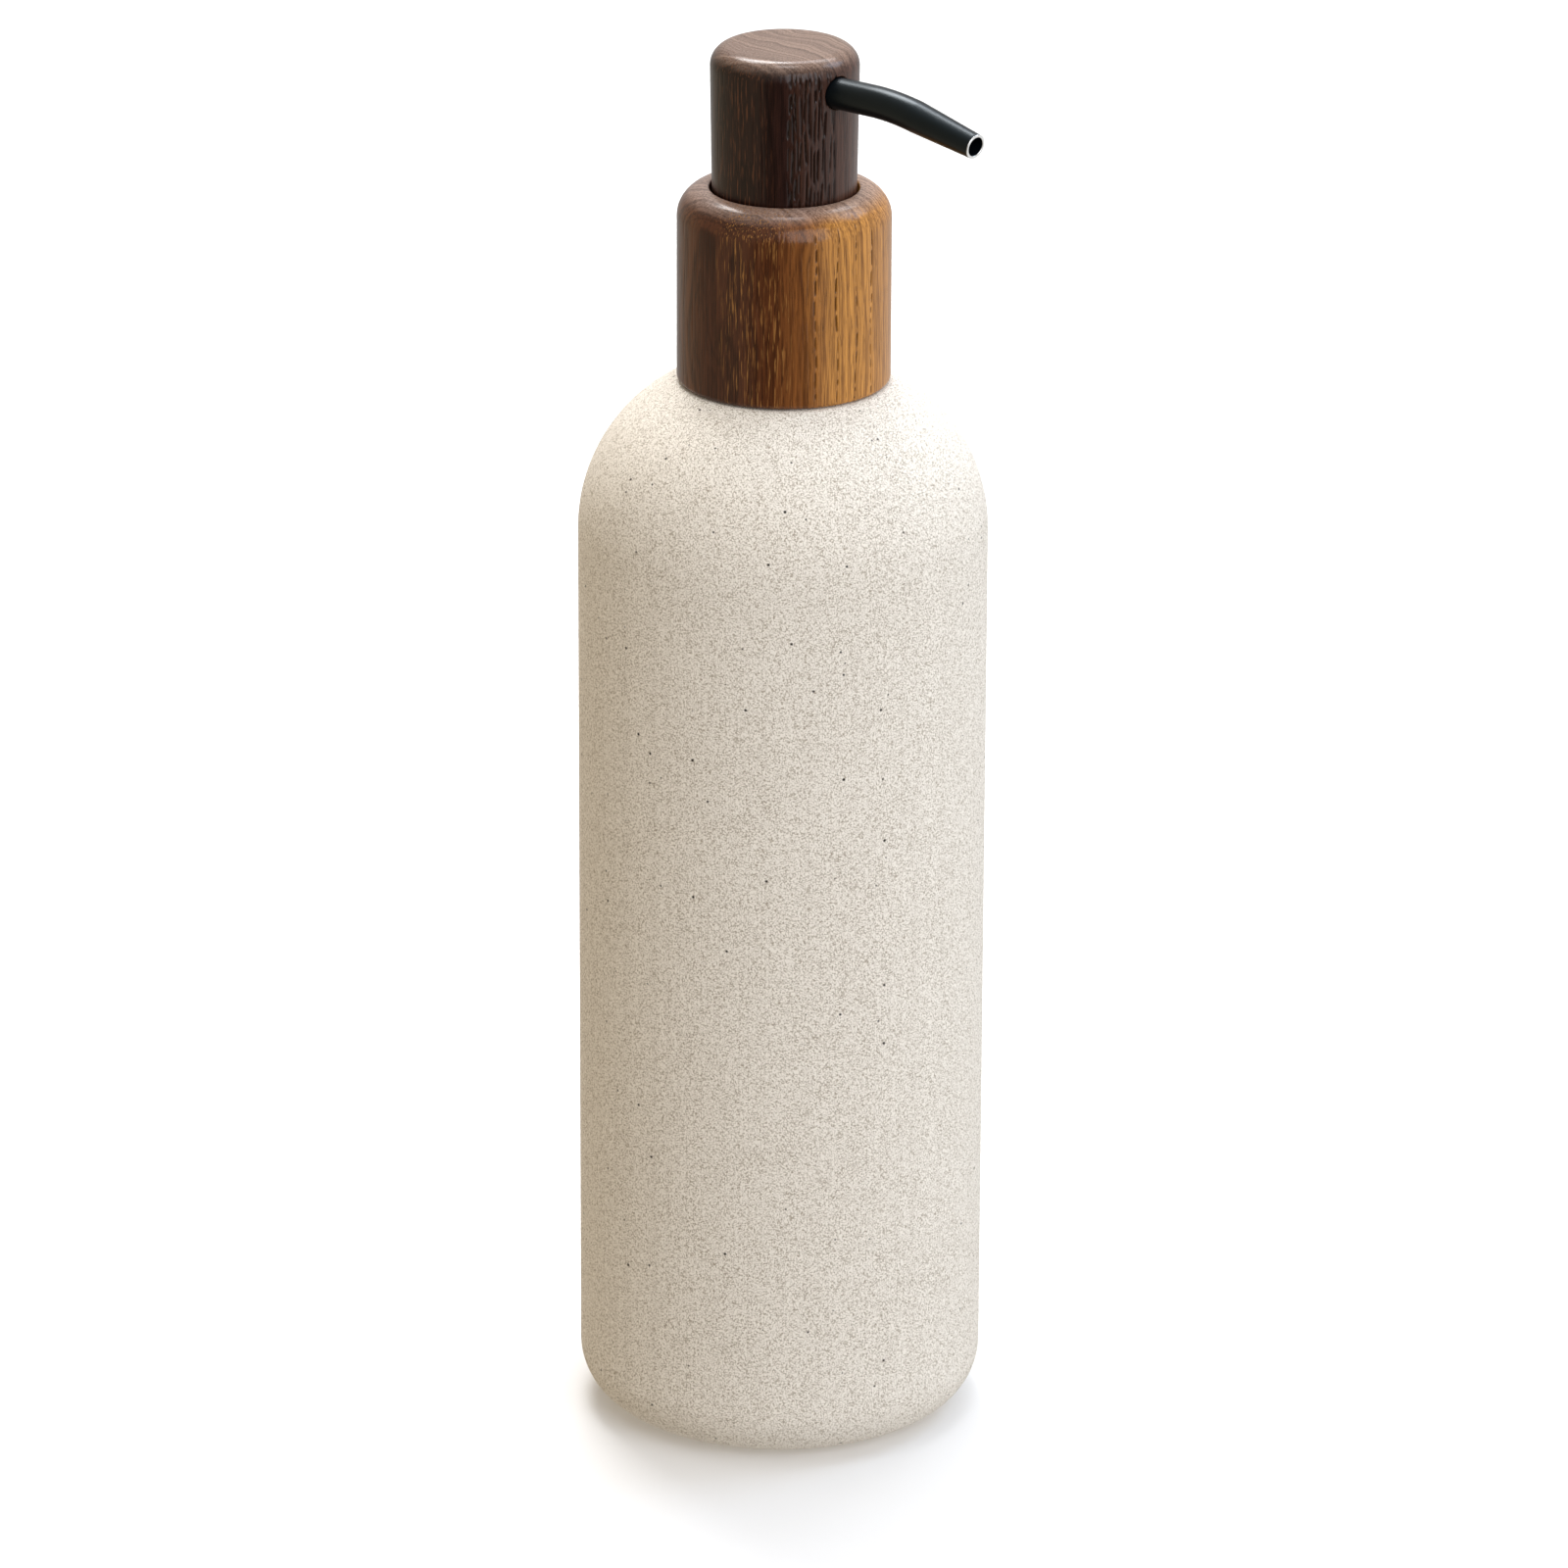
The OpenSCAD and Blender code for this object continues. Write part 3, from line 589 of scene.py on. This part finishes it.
def make_head():
    low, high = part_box("wood_head")
    radius, foot_r, bore_r, boss_r = high.x, 11.7 * MM, 9.3 * MM, 5.25 * MM
    roof_z, boss_top = low.z + 18.25 * MM, low.z + 25.25 * MM
    edge, foot = 3.3 * MM, 0.5 * MM
    points = [(0, high.z)] + line((0, high.z), (radius - edge, high.z), 10)
    roll_start = len(points) - 1
    points += arc(radius - edge, high.z - edge, edge, 90, 0, 20)[1:]
    side_start = len(points) - 1
    points += line(points[-1], (foot_r, low.z + foot), 92)
    points += arc(foot_r - foot, low.z + foot, foot, 0, -90, 5)[1:]
    side_end = len(points)
    points += [(bore_r, low.z), (bore_r, roof_z), (boss_r, roof_z), (boss_r, boss_top), (0, boss_top)]
    reach = np.zeros(len(points))
    reach[roll_start:side_start] = np.clip(np.linspace(-1.2, 1, side_start - roll_start), 0, 1)
    reach[side_start:side_end] = 1
    pores = head_pores(radius, low.z - 3 * MM, high.z)
    obj = turned_wood("head_wood_shell", points, 600, pores, reach)
    bore_spout_hole(obj)
    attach(obj, "head")
    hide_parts("wood_head")
    dress(obj, head_wood())


# ---------------------------------------------------------------- spout

SPOUT_RISE = math.radians(2.4)
SPOUT_FALL = math.radians(9.8)
SPOUT_R = 2.6 * MM
SPOUT_TIP_R = 2.03 * MM
SPOUT_WALL = 0.45 * MM
SPOUT_HOLE_R = 2.8 * MM
SPOUT_IN_X = 2.6 * MM
SPOUT_BEND_X = 19.1 * MM
SPOUT_BEND_R = 48 * MM
SPOUT_TIP_LEN = 12.9 * MM
SPOUT_HEIGHT = 21.4 * MM              # above the head's lower edge, where the spout's line crosses the axis


def spout_axis_z():
    """Height at which the spout's straight line crosses the pump's axis."""
    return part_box("wood_head")[0].z + SPOUT_HEIGHT


def spout_place(along):
    """Centre and heading above level at a distance along the spout from its inner end."""
    straight = (SPOUT_BEND_X - SPOUT_IN_X) / math.cos(SPOUT_RISE)
    bend = SPOUT_BEND_R * (SPOUT_RISE + SPOUT_FALL)
    turned = min(max(along - straight, 0), bend) / SPOUT_BEND_R
    heading = SPOUT_RISE - turned
    x = SPOUT_IN_X + min(along, straight) * math.cos(SPOUT_RISE)
    z = spout_axis_z() + x * math.tan(SPOUT_RISE)
    x += SPOUT_BEND_R * (math.sin(SPOUT_RISE) - math.sin(heading))
    z += SPOUT_BEND_R * (math.cos(heading) - math.cos(SPOUT_RISE))
    tip = max(along - straight - bend, 0)
    return Vector((x + tip * math.cos(heading), 0, z + tip * math.sin(heading))), heading


def bore_spout_hole(obj):
    """Cuts the tilted hole for the spout and applies it."""
    heading = SPOUT_RISE
    line_dir = Vector((math.cos(heading), 0, math.sin(heading)))
    up = Vector((-math.sin(heading), 0, math.cos(heading)))
    start = Vector((0, 0, spout_axis_z()))
    sections = [(start + line_dir * x, Vector((0, 1, 0)), up, SPOUT_HOLE_R) for x in (0, 20 * MM)]
    cutter = sweep("spout_hole_cutter", sections, 96, closed=False)
    cut = obj.modifiers.new("hole", "BOOLEAN")
    cut.operation, cut.solver, cut.object = "DIFFERENCE", "EXACT", cutter
    bpy.context.view_layer.update()
    result = bpy.data.meshes.new_from_object(obj.evaluated_get(bpy.context.evaluated_depsgraph_get()))
    obj.modifiers.clear()
    obj.data = result
    bpy.data.objects.remove(cutter)


def spout_rows():
    """The spout's rings as (distance along, radius), out along the outside and back along the bore.

    Also gives the rows from which and to which the cut end is bare metal.
    """
    length = (SPOUT_BEND_X - SPOUT_IN_X) / math.cos(SPOUT_RISE)
    length += SPOUT_BEND_R * (SPOUT_RISE + SPOUT_FALL) + SPOUT_TIP_LEN
    lip, bore_r, steps = 0.11 * MM, SPOUT_TIP_R - SPOUT_WALL, 96

    def tapered(along, radius, tip_radius):
        share = max(0.0, (along - length + SPOUT_TIP_LEN) / SPOUT_TIP_LEN)
        return along, radius + (tip_radius - radius) * share

    rows = [tapered((length - lip) * i / steps, SPOUT_R, SPOUT_TIP_R) for i in range(steps + 1)]
    metal_from = len(rows) - 1
    for turn in (math.radians(angle) for angle in (30, 60, 90)):
        rows.append((length - lip + lip * math.sin(turn), SPOUT_TIP_R - lip + lip * math.cos(turn)))
    for turn in (math.radians(angle) for angle in (90, 60, 30, 0)):
        rows.append((length - lip + lip * math.sin(turn), bore_r + lip - lip * math.cos(turn)))
    metal_to = len(rows) - 1
    rows += [tapered(length * i / 13, SPOUT_R - SPOUT_WALL, bore_r) for i in range(12, -1, -1)]
    return rows, metal_from, metal_to


def make_spout():
    rows, metal_from, metal_to = spout_rows()
    sections = []
    for along, radius in rows:
        centre, heading = spout_place(along)
        up = Vector((-math.sin(heading), 0, math.cos(heading)))
        sections.append((centre, Vector((0, 1, 0)), up, radius))
    sides = 72
    obj = sweep("spout_pipe", sections, sides, closed=True)
    dress(obj, painted_black(), bare_metal())
    for polygon in obj.data.polygons:
        row = polygon.index // sides
        polygon.material_index = int(metal_from <= row < metal_to)
    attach(obj, "head")
    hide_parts("spout_tube")


# ---------------------------------------------------------------- return spring

def make_spring():
    """A round-wire spring that closes up towards its top end, which moves with the plunger."""
    low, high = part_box("return_spring")
    wire_r, mean_r, turns, per_turn = 0.4 * MM, 3.3 * MM, 8, 40
    closed_pitch = 0.85 * MM
    open_pitch = (high.z - low.z - 2 * wire_r - 2 * closed_pitch) / (turns - 2)
    sections = []
    for i in range(turns * per_turn + 1):
        turn = i / per_turn
        middle = min(max(turn - 1, 0), turns - 2)
        rise = closed_pitch * (min(turn, 1) + max(turn - turns + 1, 0)) + open_pitch * middle
        angle = 2 * math.pi * turn
        out = Vector((math.cos(angle), math.sin(angle), 0))
        centre = out * mean_r + Vector((0, 0, low.z + wire_r + rise))
        sections.append((centre, out, Vector((0, 0, 1)), wire_r))
    obj = sweep("pump_spring", sections, 14, closed=False)
    dress(obj, steel())
    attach(obj, "plunger")
    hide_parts("return_spring")
    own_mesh(obj)


# ---------------------------------------------------------------- inner parts

def dress_inner_parts():
    """Materials of the CAD nodes that keep their own shape."""
    black = moulded("black_plastic", (0.012, 0.012, 0.013), (0.022, 0.022, 0.024), 0.38)
    white = moulded("white_plastic", (0.72, 0.72, 0.69), (0.80, 0.80, 0.77), 0.35)
    tube = moulded("tube_plastic", (0.70, 0.71, 0.69), (0.78, 0.79, 0.77), 0.25, Transmission_Weight=0.35)
    foam = moulded("gasket_foam", (0.66, 0.66, 0.62), (0.78, 0.78, 0.74), 0.85, grain=6.0)
    rubber = moulded("seal_rubber", (0.010, 0.010, 0.010), (0.020, 0.020, 0.020), 0.62)
    pad = moulded("pad_rubber", (0.060, 0.058, 0.055), (0.095, 0.090, 0.085), 0.85, grain=4.0)
    ball = steel()
    looks = {
        black: ("threaded_closure", "retaining_ring", "piston_seat", "stem", "actuator_core"),
        white: ("pump_housing", "ball_cage", "piston"),
        tube: ("dip_tube",),
        foam: ("neck_gasket",),
        rubber: ("stem_seal", "spout_seal"),
        pad: ("base_pad",),
        ball: ("inlet_ball", "outlet_ball"),
    }
    for material, names in looks.items():
        for name in names:
            dress(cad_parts[name], material)


# ---------------------------------------------------------------- stage, light and camera

def seen_from_camera(side, up):
    """A direction by two angles in degrees: round from the camera to the picture's right, and above level."""
    turn, rise = CAMERA_AZIMUTH + math.radians(side), math.radians(up)
    return Vector((math.sin(turn) * math.cos(rise), -math.cos(turn) * math.cos(rise), math.sin(rise)))


def make_floor():
    """A pale floor that neither lights the object nor shows in it: the sky's lower half does both."""
    half = 12.0
    corners = [(-half, -half, 0), (half, -half, 0), (half, half, 0), (-half, half, 0)]
    mesh = bpy.data.meshes.new("floor")
    mesh.from_pydata(corners, [], [(0, 1, 2, 3)])
    floor = bpy.data.objects.new("floor", mesh)
    bpy.context.scene.collection.objects.link(floor)
    paper = Material("white_paper", Base_Color=(0.86, 0.86, 0.86, 1), Roughness=0.9, Specular_IOR_Level=0.0)
    dress(floor, paper.material)
    floor.visible_diffuse = False
    floor.visible_glossy = False


def make_sky():
    """Light from all round and below: paler behind and at the right, warm at the left, dark low in front."""
    world = bpy.data.worlds.new("studio")
    bpy.context.scene.world = world
    world.use_nodes = True
    g = Graph(world.node_tree)
    towards = g.node("ShaderNodeTexCoord").outputs["Generated"]
    behind = g.step(g.dot(towards, seen_from_camera(180, 12)), 0.45, 0.92)
    right = g.step(g.dot(towards, seen_from_camera(85, -20)), 0.15, 0.95)
    left = g.step(g.dot(towards, seen_from_camera(-85, -10)), 0.05, 0.95)
    low_front = g.step(g.dot(towards, seen_from_camera(0, -20)), 0.72, 0.95)
    colour = g.mix(behind, (0.60, 0.58, 0.55, 1), (0.66, 0.66, 0.66, 1))
    colour = g.mix(right, colour, (0.93, 0.93, 0.93, 1))
    colour = g.mix(left, colour, (0.60, 0.50, 0.36, 1))
    colour = g.mix(low_front, colour, (0.10, 0.09, 0.08, 1))
    background = world.node_tree.nodes["Background"]
    g.put(background.inputs["Color"], colour)
    background.inputs["Strength"].default_value = 1.0


def area_light(name, side, up, distance, width, height, radiance, colour):
    """A soft box that faces the object's upper half. radiance is how bright its surface looks."""
    data = bpy.data.lights.new(name, "AREA")
    data.shape, data.size, data.size_y = "RECTANGLE", width, height
    data.energy = radiance * width * height * math.pi
    data.color = colour
    light = bpy.data.objects.new(name, data)
    target = Vector((0, 0, 0.15))
    towards = seen_from_camera(side, up)
    light.location = target + towards * distance
    light.rotation_mode = "QUATERNION"
    light.rotation_quaternion = towards.to_track_quat("Z", "Y")
    light.visible_camera = False
    bpy.context.scene.collection.objects.link(light)


def make_lights():
    """Soft boxes above, behind and in front, placed by the angle to the camera's right and the angle up."""
    area_light("top", -30, 78, 1.3, 1.2, 1.2, 0.55, (0.96, 0.99, 1.04))
    area_light("overhead", 165, 85, 1.3, 0.36, 0.26, 8.0, (0.97, 0.99, 1.03))
    area_light("back_left", -163, 54, 1.1, 0.42, 0.34, 14.0, (1.0, 0.985, 0.97))
    area_light("back", 172, 54, 1.1, 0.8, 0.3, 6.0, (0.96, 0.98, 1.04))
    area_light("top_right", 112, 46, 1.1, 0.45, 0.4, 4.0, (0.70, 0.92, 1.22))
    area_light("front", 26, 24, 1.4, 1.1, 1.1, 2.65, (0.96, 0.985, 1.05))


def make_camera():
    """At the photograph's viewing angle: a long lens, 20 degrees above level, with its slight tilt."""
    distance, height, lens = 1.5, 0.6722, 222.9
    pitch, roll, yaw = 0.3593, 0.0041, -0.00022
    data = bpy.data.cameras.new("camera")
    data.sensor_width, data.lens = 36, lens
    camera = bpy.data.objects.new("camera", data)
    camera.location = (distance * math.sin(CAMERA_AZIMUTH), -distance * math.cos(CAMERA_AZIMUTH), height)
    camera.rotation_euler = (math.pi / 2 - pitch, 0, CAMERA_AZIMUTH + yaw)
    camera.rotation_euler.rotate_axis("Z", roll)
    bpy.context.scene.collection.objects.link(camera)
    bpy.context.scene.camera = camera


make_camera()
make_bottle()
make_collar()
make_head()
make_spout()
make_spring()
dress_inner_parts()
make_floor()
make_sky()
make_lights()
bpy.context.scene.view_settings.view_transform = "Standard"
